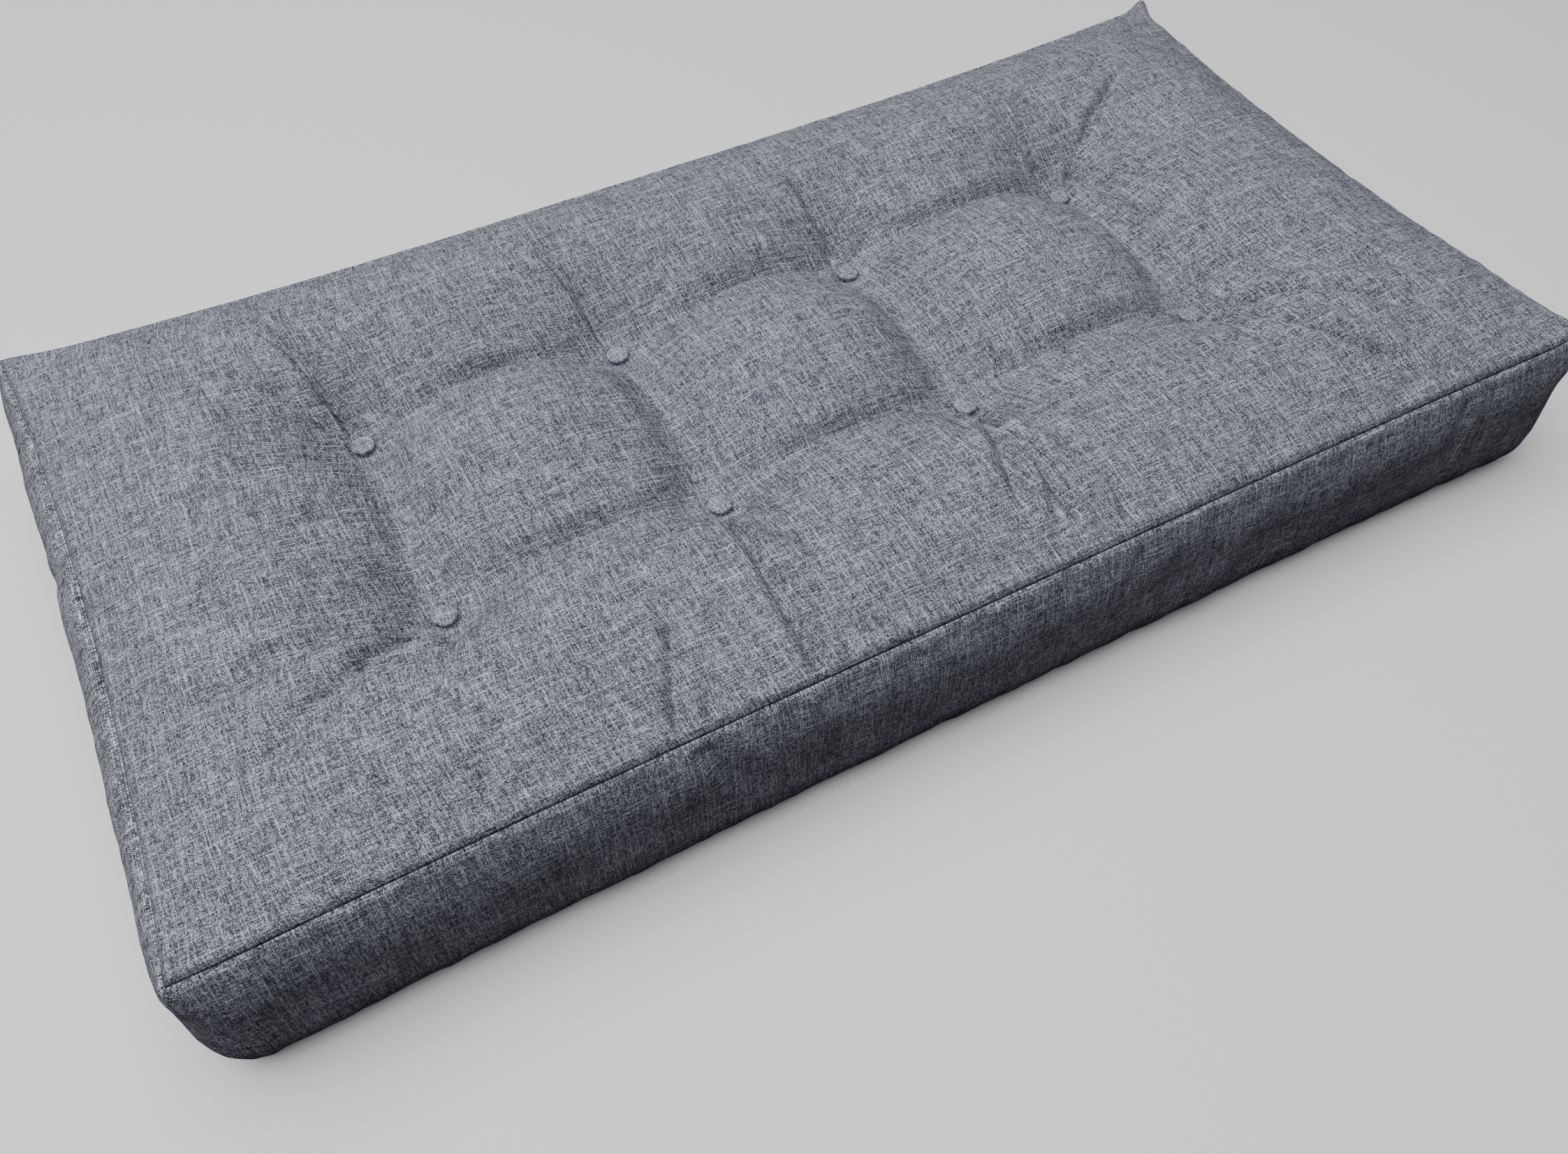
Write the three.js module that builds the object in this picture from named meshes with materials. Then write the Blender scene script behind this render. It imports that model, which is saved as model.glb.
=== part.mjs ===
// Button-tufted seat cushion, lying on its bottom panel.
// Millimetres, +Z up, X along the long side, Y from front to back.
// The origin is under the middle of the cushion, on the surface that it lies on.
import * as THREE from 'three';

// The seam round the top panel: corner to corner, and its height above the surface.
const seam = { length: 1200, depth: 612, height: 151 };

// How far each side of that seam is drawn in at its middle. The powers say how soon after a corner:
// the long sides fall back quickly from their pointed corners, the short ends in an even bow.
const drawnIn = { front: 5, back: 22, left: 12, right: 19, sidePower: 3.5, endPower: 2 };

// The stuffed crown: its rise over the seam, how far from the seam it is full, how steeply it starts.
const crown = { rise: 31, shoulder: 118, steepness: 2.3 };

// The lines that the buttons stand on, from the left and from the front. They are set by hand, so
// their spacing is a little uneven.
const columnLines = [-359, -126.5, 109.5, 353.5];
const rowLines = [-94, 107];

// The valleys between the pillows: their drop below the crown on a line of buttons, how much of it
// is given back where two lines cross, how wide they are to either side, and how far past the last
// button they run, as a share of the way to the seam. Each button pulls a small well of its own.
const valley = { columnDrop: 44, rowDrop: 36, crossing: 16, columnRun: 0.62, rowRun: 0.6 };
const halfValley = { column: 119.5, row: 100 };
const well = { depth: 10, radius: 24, seat: 12.5 };

// Halfway between the two rows, a column's valley ends in a narrower and deeper crease.
const crease = { depth: 16, halfWidth: 36, run: 0.25 };

// A covered button: the domed shell that shows, on a flat base a hair above the cloth.
const button = { radius: 11, baseRadius: 9.5, wall: 3.4, height: 8.6, gap: 0.3, steps: 20 };

// The boxing between the two panels: its bulge past the seam, the depths below the seam where the
// bulge is full and where it starts to turn under, how far the bottom seam is inside the top one,
// the round of the upright corners, and the share of the bulge that is left at those corners.
const boxing = { bulge: 14, full: 46, turn: 104, tuckUnder: 3, cornerRound: 24, cornerShare: 0.85 };
const bulgePower = 2.6;
const sharpCorner = 0.01;

// The corner points of the top panel: how far each stands up, over this reach.
const points = { reach: 34, frontLeft: 2, frontRight: 3, backLeft: 3, backRight: 9 };

// Folds in the top panel. Each leaves a button at a heading in degrees, starts at one distance from
// it, ends at another, bows to its left by its bend, and has a depth and a half width.
const foldColumns = ['column', 'row', 'heading', 'start', 'end', 'bend', 'depth', 'halfWidth'];
const foldRows = [
  [1, 2, 108, 12, 150, -4, 8, 12],
  [1, 2, 136, 22, 120, 0, 5, 12],
  [1, 2, -160, 30, 215, 20, 5, 20],
  [2, 2, 113, 12, 165, -5, 8, 12],
  [2, 2, 16, 14, 95, 9, 6, 11],
  [3, 2, 174, 14, 100, -5, 7, 11],
  [3, 2, 103, 14, 150, 10, 8, 12],
  [3, 2, 28, 14, 84, 12, 6, 11],
  [4, 2, 107, 14, 165, 8, 7, 12],
  [4, 2, 31, 12, 165, 8, 9, 13],
  [1, 1, -149, 18, 255, 10, 10, 14],
  [1, 1, -135, 60, 185, -2, 6, 12],
  [1, 1, -168, 30, 225, 8, 5, 18],
  [1, 1, -96, 20, 195, 0, 6, 12],
  [2, 1, -128, 90, 240, 8, 8, 13],
  [2, 1, -116, 20, 205, -3, 7, 12],
  [2, 1, -95, 14, 200, -9, 8, 12],
  [2, 1, -74, 60, 190, -6, 5, 12],
  [3, 1, -118, 14, 160, -9, 7, 12],
  [3, 1, -98, 40, 190, -10, 5, 12],
  [4, 1, -101, 16, 180, -16, 6, 12],
  [4, 1, -66, 16, 205, -26, 6, 13],
  [4, 1, -50, 16, 165, -8, 7, 13],
];
const folds = foldRows.map((row) => Object.fromEntries(foldColumns.map((name, i) => [name, row[i]])));
const foldLead = 20;
const foldToSeam = 30;

// Where the surface is sampled: distances to either side of each line of buttons, then on past the
// last line towards the seam, closest where the cloth bends most.
const besideLine = [0, 12.5, 24, 38, 56, 78, 99];
const towardsEnds = [118, 138, 158, 178, 196, 212, 225, 234];
const towardsSides = [118, 137, 155, 171, 184, 194];
const boxingDepths = [13, 30, 58, 104, 132, seam.height];
const closestLines = 2;

const halfLength = seam.length / 2;
const halfDepth = seam.depth / 2;
const lastColumn = columnLines.at(-1);
const lastRow = rowLines.at(-1);

function clamp01(value) {
  return Math.min(Math.max(value, 0), 1);
}

function ease(value) {
  const t = clamp01(value);
  return t * t * (3 - 2 * t);
}

function nearest(value, lines) {
  return Math.min(...lines.map((line) => Math.abs(value - line)));
}

function beyond(value, lines, end) {
  const last = value > 0 ? lines.at(-1) : -lines[0];
  return clamp01((Math.abs(value) - last) / (end - last));
}

// The crown's share of its full rise, at a distance inside the seam.
function shoulder(inside) {
  return 1 - clamp01(1 - inside / crown.shoulder) ** crown.steepness;
}

function foldDepth(fold, x, y) {
  const angle = THREE.MathUtils.degToRad(fold.heading);
  const dx = x - columnLines[fold.column - 1];
  const dy = y - rowLines[fold.row - 1];
  const along = dx * Math.cos(angle) + dy * Math.sin(angle);
  if (along < fold.start || along > fold.end) return 0;
  const t = along / fold.end;
  const across = dy * Math.cos(angle) - dx * Math.sin(angle) - 4 * fold.bend * t * (1 - t);
  const fade = ease((along - fold.start) / foldLead) * (1 - ease(2 * t - 1));
  return fold.depth * fade * Math.exp(-((across / fold.halfWidth) ** 2));
}

function cornerPoint(x, y) {
  const lift = y < 0 ? (x < 0 ? points.frontLeft : points.frontRight)
    : (x < 0 ? points.backLeft : points.backRight);
  const away = Math.hypot(halfLength - Math.abs(x), halfDepth - Math.abs(y));
  return lift * Math.exp(-((away / points.reach) ** 2));
}

// The height of the top panel's cloth, before the flat seats are set under the buttons.
function clothHeight(x, y) {
  const insideEnd = halfLength - Math.abs(x);
  const insideSide = halfDepth - Math.abs(y);
  let z = seam.height + crown.rise * shoulder(insideEnd) * shoulder(insideSide) + cornerPoint(x, y);
  const column = clamp01(1 - nearest(x, columnLines) / halfValley.column) ** 2
    * (1 - ease(beyond(y, rowLines, halfDepth) / valley.columnRun));
  const row = clamp01(1 - nearest(y, rowLines) / halfValley.row) ** 2
    * (1 - ease(beyond(x, columnLines, halfLength) / valley.rowRun));
  z -= valley.columnDrop * column + valley.rowDrop * row - valley.crossing * column * row;
  const betweenRows = (1 - clamp01(1 - nearest(y, rowLines) / halfValley.row) ** 2)
    * (1 - ease(beyond(y, rowLines, halfDepth) / crease.run));
  z -= crease.depth * clamp01(1 - nearest(x, columnLines) / crease.halfWidth) ** 2 * betweenRows;
  const toButton = Math.hypot(nearest(x, columnLines), nearest(y, rowLines));
  z -= well.depth * Math.exp(-((toButton / well.radius) ** 2));
  const atSeam = ease(Math.min(insideEnd, insideSide) / foldToSeam);
  return folds.reduce((height, fold) => height - atSeam * foldDepth(fold, x, y), z);
}

function topHeight(x, y) {
  const toSeat = Math.max(nearest(x, columnLines), nearest(y, rowLines));
  const onSeat = toSeat < well.seat + sharpCorner;
  return onSeat ? clothHeight(columnLines[0], rowLines[0]) : clothHeight(x, y);
}

// The seam is drawn in between its corners, and the cloth of the outer pillows with it.
function drawIn(x, y) {
  const outerX = clamp01((Math.abs(x) - lastColumn) / (halfLength - lastColumn)) ** 2;
  const outerY = clamp01((Math.abs(y) - lastRow) / (halfDepth - lastRow)) ** 2;
  const endBow = 1 - Math.abs(y / halfDepth) ** drawnIn.endPower;
  const sideBow = 1 - Math.abs(x / halfLength) ** drawnIn.sidePower;
  const end = (x < 0 ? drawnIn.left : drawnIn.right) * endBow * outerX;
  const side = (y < 0 ? drawnIn.front : drawnIn.back) * sideBow * outerY;
  return [x - Math.sign(x) * end, y - Math.sign(y) * side];
}

// The bulge of the boxing past the seam, at a depth below it.
function boxingBulge(depth) {
  const out = 1 - clamp01(1 - depth / boxing.full) ** bulgePower;
  const under = clamp01((depth - boxing.turn) / (seam.height - boxing.turn)) ** 2;
  return boxing.bulge * out - (boxing.bulge + boxing.tuckUnder) * under;
}

// A point of the boxing, below the point of the seam at x, y. The corners get rounder on the way
// down from the sharp corner of the seam.
function boxingPoint(x, y, depth) {
  const radius = boxing.cornerRound * ease(depth / boxing.full) + sharpCorner;
  const coreX = THREE.MathUtils.clamp(x, radius - halfLength, halfLength - radius);
  const coreY = THREE.MathUtils.clamp(y, radius - halfDepth, halfDepth - radius);
  const away = Math.hypot(x - coreX, y - coreY);
  const outX = (x - coreX) / away;
  const outY = (y - coreY) / away;
  const corner = 2 * Math.min(Math.abs(outX), Math.abs(outY));
  const bulge = boxingBulge(depth) * (1 - (1 - boxing.cornerShare) * clamp01(corner));
  const [seamX, seamY] = drawIn(coreX + outX * radius, coreY + outY * radius);
  const z = depth < seam.height ? topHeight(x, y) * (1 - depth / seam.height) : 0;
  return [seamX + outX * bulge, seamY + outY * bulge, z];
}

// Lines to sample between -end and end, leaving out those that would almost meet.
function sampleLines(lines, pastLast, end) {
  const inner = lines.flatMap((line) => besideLine.flatMap((step) => [line - step, line + step]));
  const outer = pastLast.flatMap((step) => [lines[0] - step, lines.at(-1) + step]);
  const middles = lines.slice(1).map((line, i) => (line + lines[i]) / 2);
  const sorted = [...inner, ...outer, ...middles, -end, end].sort((a, b) => a - b);
  return sorted.filter((value, i) => i === 0 || value - sorted[i - 1] > closestLines);
}

function cushionGeometry() {
  const xs = sampleLines(columnLines, towardsEnds, halfLength);
  const ys = sampleLines(rowLines, towardsSides, halfDepth);
  const positions = [];
  const triangles = [];
  const corner = (i, j) => j * xs.length + i;
  const heightAt = (index) => positions[3 * index + 2];

  for (const y of ys) {
    for (const x of xs) positions.push(...drawIn(x, y), topHeight(x, y));
  }

  // Each cell of the top is cut along the diagonal that lies closer to the cloth.
  for (let j = 0; j < ys.length - 1; j += 1) {
    for (let i = 0; i < xs.length - 1; i += 1) {
      const [a, b, c, d] = [corner(i, j), corner(i + 1, j), corner(i + 1, j + 1), corner(i, j + 1)];
      const middle = clothHeight((xs[i] + xs[i + 1]) / 2, (ys[j] + ys[j + 1]) / 2);
      const missAC = Math.abs((heightAt(a) + heightAt(c)) / 2 - middle);
      const missBD = Math.abs((heightAt(b) + heightAt(d)) / 2 - middle);
      if (missAC < missBD) triangles.push(a, b, c, a, c, d);
      else triangles.push(a, b, d, b, c, d);
    }
  }

  // The seam once round, anticlockwise from the front left corner.
  const lastX = xs.length - 1;
  const lastY = ys.length - 1;
  const rim = [
    ...xs.slice(0, -1).map((x, i) => [x, ys[0], corner(i, 0)]),
    ...ys.slice(0, -1).map((y, j) => [xs[lastX], y, corner(lastX, j)]),
    ...xs.slice(1).reverse().map((x, i) => [x, ys[lastY], corner(lastX - i, lastY)]),
    ...ys.slice(1).reverse().map((y, j) => [xs[0], y, corner(0, lastY - j)]),
  ];

  let ring = rim.map(([, , index]) => index);
  for (const depth of boxingDepths) {
    const below = rim.map((_, k) => positions.length / 3 + k);
    for (const [x, y] of rim) positions.push(...boxingPoint(x, y, depth));
    for (let k = 0; k < rim.length; k += 1) {
      const next = (k + 1) % rim.length;
      triangles.push(ring[k], below[k], below[next], ring[k], below[next], ring[next]);
    }
    ring = below;
  }

  const outline = ring.map((index) => new THREE.Vector2(positions[3 * index], positions[3 * index + 1]));
  for (const [a, b, c] of THREE.ShapeUtils.triangulateShape(outline, [])) {
    triangles.push(ring[a], ring[c], ring[b]);
  }

  const geometry = new THREE.BufferGeometry();
  geometry.setAttribute('position', new THREE.Float32BufferAttribute(positions, 3));
  geometry.setIndex(triangles);
  geometry.computeVertexNormals();
  return geometry;
}

// Lathe profile of a covered button, from the middle of its base to the top of its dome.
function buttonGeometry() {
  const rise = button.height - button.wall;
  const dome = [0, 30, 60].map((degrees) => {
    const angle = THREE.MathUtils.degToRad(degrees);
    return [button.radius * Math.cos(angle), button.wall + rise * Math.sin(angle)];
  });
  const outline = [[0, 0], [button.baseRadius, 0], ...dome, [0, button.height]];
  const profile = outline.map(([radius, z]) => new THREE.Vector2(radius, z));
  return new THREE.LatheGeometry(profile, button.steps).rotateX(Math.PI / 2);
}

const cloth = new THREE.MeshStandardMaterial({ color: 0x777c86, roughness: 0.95, metalness: 0 });

const cushion = new THREE.Group();
const body = new THREE.Mesh(cushionGeometry(), cloth.clone());
body.name = 'cushion';
cushion.add(body);

const rowNames = ['front', 'back'];
rowLines.forEach((y, row) => {
  columnLines.forEach((x, column) => {
    const mesh = new THREE.Mesh(buttonGeometry(), cloth.clone());
    mesh.name = `button_${rowNames[row]}_${column + 1}`;
    mesh.position.set(x, y, topHeight(x, y) + button.gap);
    cushion.add(mesh);
  });
});

// The origin goes under the middle of the cushion's box.
const box = new THREE.Box3().setFromObject(body);
cushion.position.set(-(box.min.x + box.max.x) / 2, -(box.min.y + box.max.y) / 2, 0);

export default cushion;
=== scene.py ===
import math

import bpy
import numpy as np
from mathutils import Euler, Matrix, Vector


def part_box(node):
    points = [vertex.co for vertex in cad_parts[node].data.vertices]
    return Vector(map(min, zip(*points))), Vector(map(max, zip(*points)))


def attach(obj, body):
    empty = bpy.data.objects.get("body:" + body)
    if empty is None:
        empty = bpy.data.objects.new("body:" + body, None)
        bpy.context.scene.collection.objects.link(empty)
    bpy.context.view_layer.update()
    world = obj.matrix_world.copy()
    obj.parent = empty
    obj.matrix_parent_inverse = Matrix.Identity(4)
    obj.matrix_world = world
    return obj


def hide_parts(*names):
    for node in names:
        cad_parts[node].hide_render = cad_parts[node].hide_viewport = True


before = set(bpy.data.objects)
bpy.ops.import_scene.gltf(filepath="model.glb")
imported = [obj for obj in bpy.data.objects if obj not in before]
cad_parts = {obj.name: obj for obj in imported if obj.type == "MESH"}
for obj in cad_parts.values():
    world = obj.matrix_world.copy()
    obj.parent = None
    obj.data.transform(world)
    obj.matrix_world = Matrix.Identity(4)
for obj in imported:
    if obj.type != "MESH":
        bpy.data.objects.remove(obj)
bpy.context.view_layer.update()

# Metres, +Z up, the cushion lying on its bottom panel
millimetre = 0.001
tiny = 1e-9  # keeps a division off zero


# Camera

view = {
    "place": (-0.4171, -0.7368, 0.9143),
    "heading": 61.49,  # degrees from +X, seen from above
    "pitch": -51.82,
    "roll": -0.09,
    "lens": 30.38,  # mm, on a frame of the width below
    "frameWidth": 36,
    "nearest": 0.01,
}


def makeCamera():
    camera = bpy.data.objects.new("camera", bpy.data.cameras.new("camera"))
    camera.data.lens = view["lens"]
    camera.data.sensor_width = view["frameWidth"]
    camera.data.clip_start = view["nearest"]
    aim = Euler((math.radians(90 + view["pitch"]), 0, math.radians(view["heading"] - 90)), "XYZ")
    roll = Matrix.Rotation(math.radians(view["roll"]), 4, "Z")
    camera.matrix_world = Matrix.Translation(view["place"]) @ aim.to_matrix().to_4x4() @ roll
    bpy.context.scene.collection.objects.link(camera)
    bpy.context.scene.camera = camera


makeCamera()
print("camera ready")


# The cushion. Its crown rises from the seam, over a shoulder, and the sides are drawn in between
# the corners, which stand up a little.

cushion = {
    "length": 1.200,  # the top seam, corner to corner
    "depth": 0.612,
    "seamHeight": 0.151,
    "crownRise": 0.031,
    "crownShoulder": 0.118,  # distance from the seam over which the crown rises
    "crownPower": 2.3,
    "drawnIn": {"front": 0.005, "back": 0.022, "left": 0.012, "right": 0.019},
    "sidePower": 3.5,  # how late the long sides come out again towards the corners
    "endPower": 2,  # the same for the short ones
    "cornerReach": {"frontLeft": 0.030, "frontRight": 0.030, "backLeft": 0.030, "backRight": 0.013},
    "cornerLift": {"frontLeft": 0.003, "frontRight": 0.004, "backLeft": 0.004, "backRight": 0.010},
    "buttonGap": 0.0003,  # between the base of a button and the seat in its well
}

# The valleys between the pillows, and the well and the flat seat at each button
valley = {
    "columnDrop": 0.040,
    "rowDrop": 0.032,
    "crossing": 0.016,  # how much of the drop is given back where two valleys cross
    "columnRun": 0.62,  # how far a valley runs on to the seam, as a share
    "rowRun": 0.60,
    "halfColumn": 0.1195,
    "halfRow": 0.100,
    "columnRound": 0.010,  # how soft the bottom of a valley is
    "rowRound": 0.002,
    "buttonRound": 0.030,  # how much softer at a button
    "buttonReach": 0.046,
    "wellDepth": 0.017,
    "wellRadius": 0.031,
    "seatRadius": 0.0110,
    "seatEdge": 0.0017,  # width of the step up from the seat
    "calm": 0.008,  # past the seat, how far the cloth is smooth
}

# Narrow creases at the bottom of the valleys, halfway between two buttons
crease = {
    "columnDepth": 0.017,
    "columnWidth": 0.031,
    "columnRun": 0.25,
    "rowDepth": 0.014,
    "rowWidth": 0.013,
    "rowRun": 0.10,
}

# The lines of buttons, measured from the middle between the corners
columnLines = np.array([-0.359, -0.1265, 0.1095, 0.3535])
rowLines = np.array([-0.094, 0.107])
buttonNames = [[f"button_{row}_{column}" for column in (1, 2, 3, 4)] for row in ("front", "back")]


def nodeMiddle(name):
    low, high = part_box(name)
    return (low + high) / 2


buttonMiddles = [nodeMiddle(name) for row in buttonNames for name in row]
middle = sum(buttonMiddles, Vector()) / len(buttonMiddles)
middle = np.array([middle.x - columnLines.mean(), middle.y - rowLines.mean()])
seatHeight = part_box(buttonNames[0][0])[0].z - cushion["buttonGap"]
halfLength = cushion["length"] / 2
halfDepth = cushion["depth"] / 2


def clamp01(value):
    return np.clip(value, 0, 1)


def ease(value):
    t = clamp01(value)
    return t * t * (3 - 2 * t)


def hump(distance, width):
    return np.exp(-((distance / width) ** 2))


def nearest(value, lines):
    return np.abs(value[..., None] - lines).min(-1)


def beyond(value, lines, end):
    last = np.where(value > 0, lines[-1], -lines[0])
    return clamp01((np.abs(value) - last) / (end - last))


def rounded(distance, radius):
    return np.sqrt(distance ** 2 + radius ** 2) - radius


ripples = {
    "waves": 9,
    "lengths": (0.7, 1.5),  # how far the waves' lengths differ from the one asked for
}


# Smooth unevenness: a few waves in seeded directions
def ripple(x, y, wavelength, seed):
    rng = np.random.default_rng(seed)
    total = np.zeros(np.broadcast(x, y).shape)
    for _ in range(ripples["waves"]):
        angle = rng.uniform(0, math.tau)
        pace = math.tau / (wavelength * rng.uniform(*ripples["lengths"]))
        total += np.sin((x * math.cos(angle) + y * math.sin(angle)) * pace + rng.uniform(0, math.tau))
    return total / math.sqrt(ripples["waves"] / 2)


# Folds in the top panel. Each leaves a button at a heading in degrees, starts at one distance from
# it and ends at another, dies away over its tail, bows to its left by its bend, and has a depth and
# a half width, all in mm.
foldColumns = ("column", "row", "heading", "start", "end", "tail", "bend", "depth", "halfWidth")
foldRows = (
    (1, 2, 113, 12, 152, 25, -8, 10.5, 4.4),
    (1, 2, 141, 18, 120, 40, -7, 6.0, 5.0),
    (1, 2, -160, 30, 215, 90, 20, 5.5, 12),
    (1, 2, 166, 24, 120, 50, -4, 3.0, 7),
    (2, 2, 111.5, 14, 150, 25, -8, 10.0, 4.4),
    (2, 2, 22, 14, 90, 35, -1, 4.5, 5.5),
    (2, 2, 92, 70, 150, 40, 6, 2.6, 6),
    (3, 2, 172, 16, 98, 40, -6, 6.0, 6.5),
    (3, 2, 101, 14, 125, 45, -3, 7.0, 6.0),
    (3, 2, 21, 14, 70, 30, 9, 4.5, 5.5),
    (3, 2, 64, 64, 132, 35, -4, 5.0, 4.5),
    (4, 2, 111.5, 14, 135, 35, -4, 8.0, 4.5),
    (4, 2, 29, 12, 150, 50, 6, 10, 4.5),
    (4, 2, 42, 110, 190, 50, 4, 4.5, 6),
    (4, 2, -12, 120, 200, 50, 6, 3.0, 8),
    (1, 1, -146, 20, 230, 80, 9, 9.0, 7.5),
    (1, 1, -135, 60, 195, 60, -3, 6.0, 6),
    (1, 1, -168, 24, 230, 80, 8, 7.0, 8),
    (1, 1, -93, 18, 95, 50, 0, 5.0, 7),
    (1, 1, -98, 150, 212, 30, 0, 5.0, 5),
    (2, 1, -122, 150, 252, 22, -17, 9.5, 4.6),
    (2, 1, -113, 40, 165, 60, 2, 4.0, 6),
    (2, 1, -95, 13, 222, 12, -13, 12, 4.2),
    (2, 1, -80, 70, 190, 60, -6, 4.0, 6),
    (3, 1, -109, 16, 192, 45, -8, 12.0, 5.6),
    (3, 1, -96, 18, 203, 35, -14.5, 13.0, 5.4),
    (3, 1, -103, 140, 214, 25, 0, 5.0, 5.0),
    (3, 1, -85, 150, 207, 20, 0, 6.5, 4.5),
    (4, 1, -51, 14, 185, 55, 3, 14.0, 6.0),
    (4, 1, -66, 18, 212, 45, -28, 14.0, 6.0),
    (4, 1, -99, 20, 192, 70, -12, 5.5, 7),
    (4, 1, -33, 100, 215, 60, 4, 7.0, 7),
)
folds = [dict(zip(foldColumns, row)) for row in foldRows]
foldForm = {
    "farStart": 60,  # mm; a fold that starts nearer comes out of its button
    "nearLead": 0.014,  # length over which such a fold deepens
    "farLead": 0.034,
    "startWidth": 0.8,  # share of the half width that a fold starts with
    "widening": 0.4,
    "steepness": 1.1,
    "bottomRound": 0.22,  # in half widths
    "ridge": 0.42,  # height of the ridge at either side, as a share of the depth
    "ridgeOffset": 2.3,  # in half widths
    "ridgeSpread": 1.5,
    "splitDepth": 0.9,  # mm; where a fold is deeper the mesh is finer
    "splitReach": 1.7,  # in half widths
    "leastReach": 9,  # mm
}


# How deep each fold is at a point, and how far across it the point lies, in half widths
def foldAt(fold, x, y):
    angle = math.radians(fold["heading"])
    start, end, tail, bend, width = (
        fold[name] * millimetre for name in ("start", "end", "tail", "bend", "halfWidth"))
    dx = x - columnLines[fold["column"] - 1]
    dy = y - rowLines[fold["row"] - 1]
    along = dx * math.cos(angle) + dy * math.sin(angle)
    t = along / end
    bow = 4 * bend * t * (1 - t)  # greatest halfway along
    across = dy * math.cos(angle) - dx * math.sin(angle) - bow
    lead = foldForm["nearLead"] if fold["start"] < foldForm["farStart"] else foldForm["farLead"]
    fade = ease((along - start) / lead) * ease((end - along) / tail)
    width = width * (foldForm["startWidth"] + foldForm["widening"] * clamp01(t))
    return fade, np.abs(across) / width


def foldShape(x, y):
    total = np.zeros(np.broadcast(x, y).shape)
    for fold in folds:
        fade, across = foldAt(fold, x, y)
        ridge = hump(across - foldForm["ridgeOffset"], foldForm["ridgeSpread"])
        pinch = np.exp(-foldForm["steepness"] * rounded(across, foldForm["bottomRound"]))
        total += fold["depth"] * millimetre * fade * (foldForm["ridge"] * ridge - pinch)
    return total


# Whether a fold passes close enough to need smaller mesh faces
def inFold(x, y):
    close = np.zeros(x.shape, dtype=bool)
    for fold in folds:
        fade, across = foldAt(fold, x, y)
        reach = max(foldForm["splitReach"], foldForm["leastReach"] / fold["halfWidth"])
        close |= (fade * fold["depth"] > foldForm["splitDepth"]) & (across < reach)
    return close


# Short gathers where the cloth is pulled in round each button, and the collar of cloth round it
gathers = {
    "count": 9,
    "slowCount": 5,  # a second wave that makes them uneven
    "slowShare": 0.6,
    "columnPhase": 1.7,
    "rowPhase": 2.9,
    "depth": 0.0005,
    "start": 0.006,
    "reach": 0.026,
}
collar = {"height": 0.0014, "radius": 0.0160, "width": 0.0052}


def gatherShape(x, y):
    total = np.zeros(np.broadcast(x, y).shape)
    for row, lineY in enumerate(rowLines):
        for column, lineX in enumerate(columnLines):
            dx, dy = x - lineX, y - lineY
            away = np.hypot(dx, dy)
            swing = np.arctan2(dy, dx)
            phase = gathers["columnPhase"] * column + gathers["rowPhase"] * row
            slow = np.sin(gathers["slowCount"] * swing + 2 * phase)
            wave = np.sin(gathers["count"] * swing + phase) + gathers["slowShare"] * slow
            band = ease((away - valley["seatRadius"]) / gathers["start"]) * hump(away, gathers["reach"])
            total += gathers["depth"] * wave * band
    return total


# Lumps of filling under the cloth
lumps = (
    {"wavelength": 0.150, "height": 0.0009, "seed": 11},
    {"wavelength": 0.060, "height": 0.00035, "seed": 12},
    {"wavelength": 0.026, "height": 0.00010, "seed": 13},
)

# The plain seam: a groove between two rolled edges, with the cloth slightly gathered beside it
seam = {
    "groove": 0.0040,
    "frontLip": 0.25,  # how far the boxing's edge rises beside the groove at the front, as a share
    "grooveWidth": 0.0014,
    "leftWider": 1.7,  # how much wider the groove is at the left end
    "backLip": 0.0030,  # how far the boxing's edge stands up behind the back seam
    "backLipDepth": 0.0030,
    "backLipWidth": 0.0024,
    "backFlatter": 0.9,  # how much of the top's rolled edge is missing there
    "backEndPower": 12,
    "roll": 0.0012,
    "rollOffset": 0.0060,
    "rollWidth": 0.0045,
    "foldsEnd": 0.014,  # distance from the seam where folds and lumps end
    "gather": 0.0005,
    "gatherStart": 0.006,
    "gatherReach": 0.026,
    "gatherLength": 0.024,
    "gatherSeeds": {"top": 21, "boxing": 22, "bottom": 23},
}


# How high the nearest corner stands up, and the share of that at a point
def cornerShare(x, y):
    def atCorner(amounts):
        return np.where(
            y < 0,
            np.where(x < 0, amounts["frontLeft"], amounts["frontRight"]),
            np.where(x < 0, amounts["backLeft"], amounts["backRight"]))

    away = np.hypot(halfLength - np.abs(x), halfDepth - np.abs(y))
    return atCorner(cushion["cornerLift"]), hump(away, atCorner(cushion["cornerReach"]))


def seamProfile(distance, rolled=1, wider=1):
    roll = seam["roll"] * rolled * hump(distance - seam["rollOffset"], seam["rollWidth"])
    return roll - seam["groove"] * hump(distance, seam["grooveWidth"] * wider)


# The back seam lies flatter, with the edge of the boxing standing up a little behind it
def alongBack(x, onBack):
    return onBack * (1 - np.abs(x / halfLength) ** seam["backEndPower"])


def shoulder(inside):
    return 1 - clamp01(1 - inside / cushion["crownShoulder"]) ** cushion["crownPower"]


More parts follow.
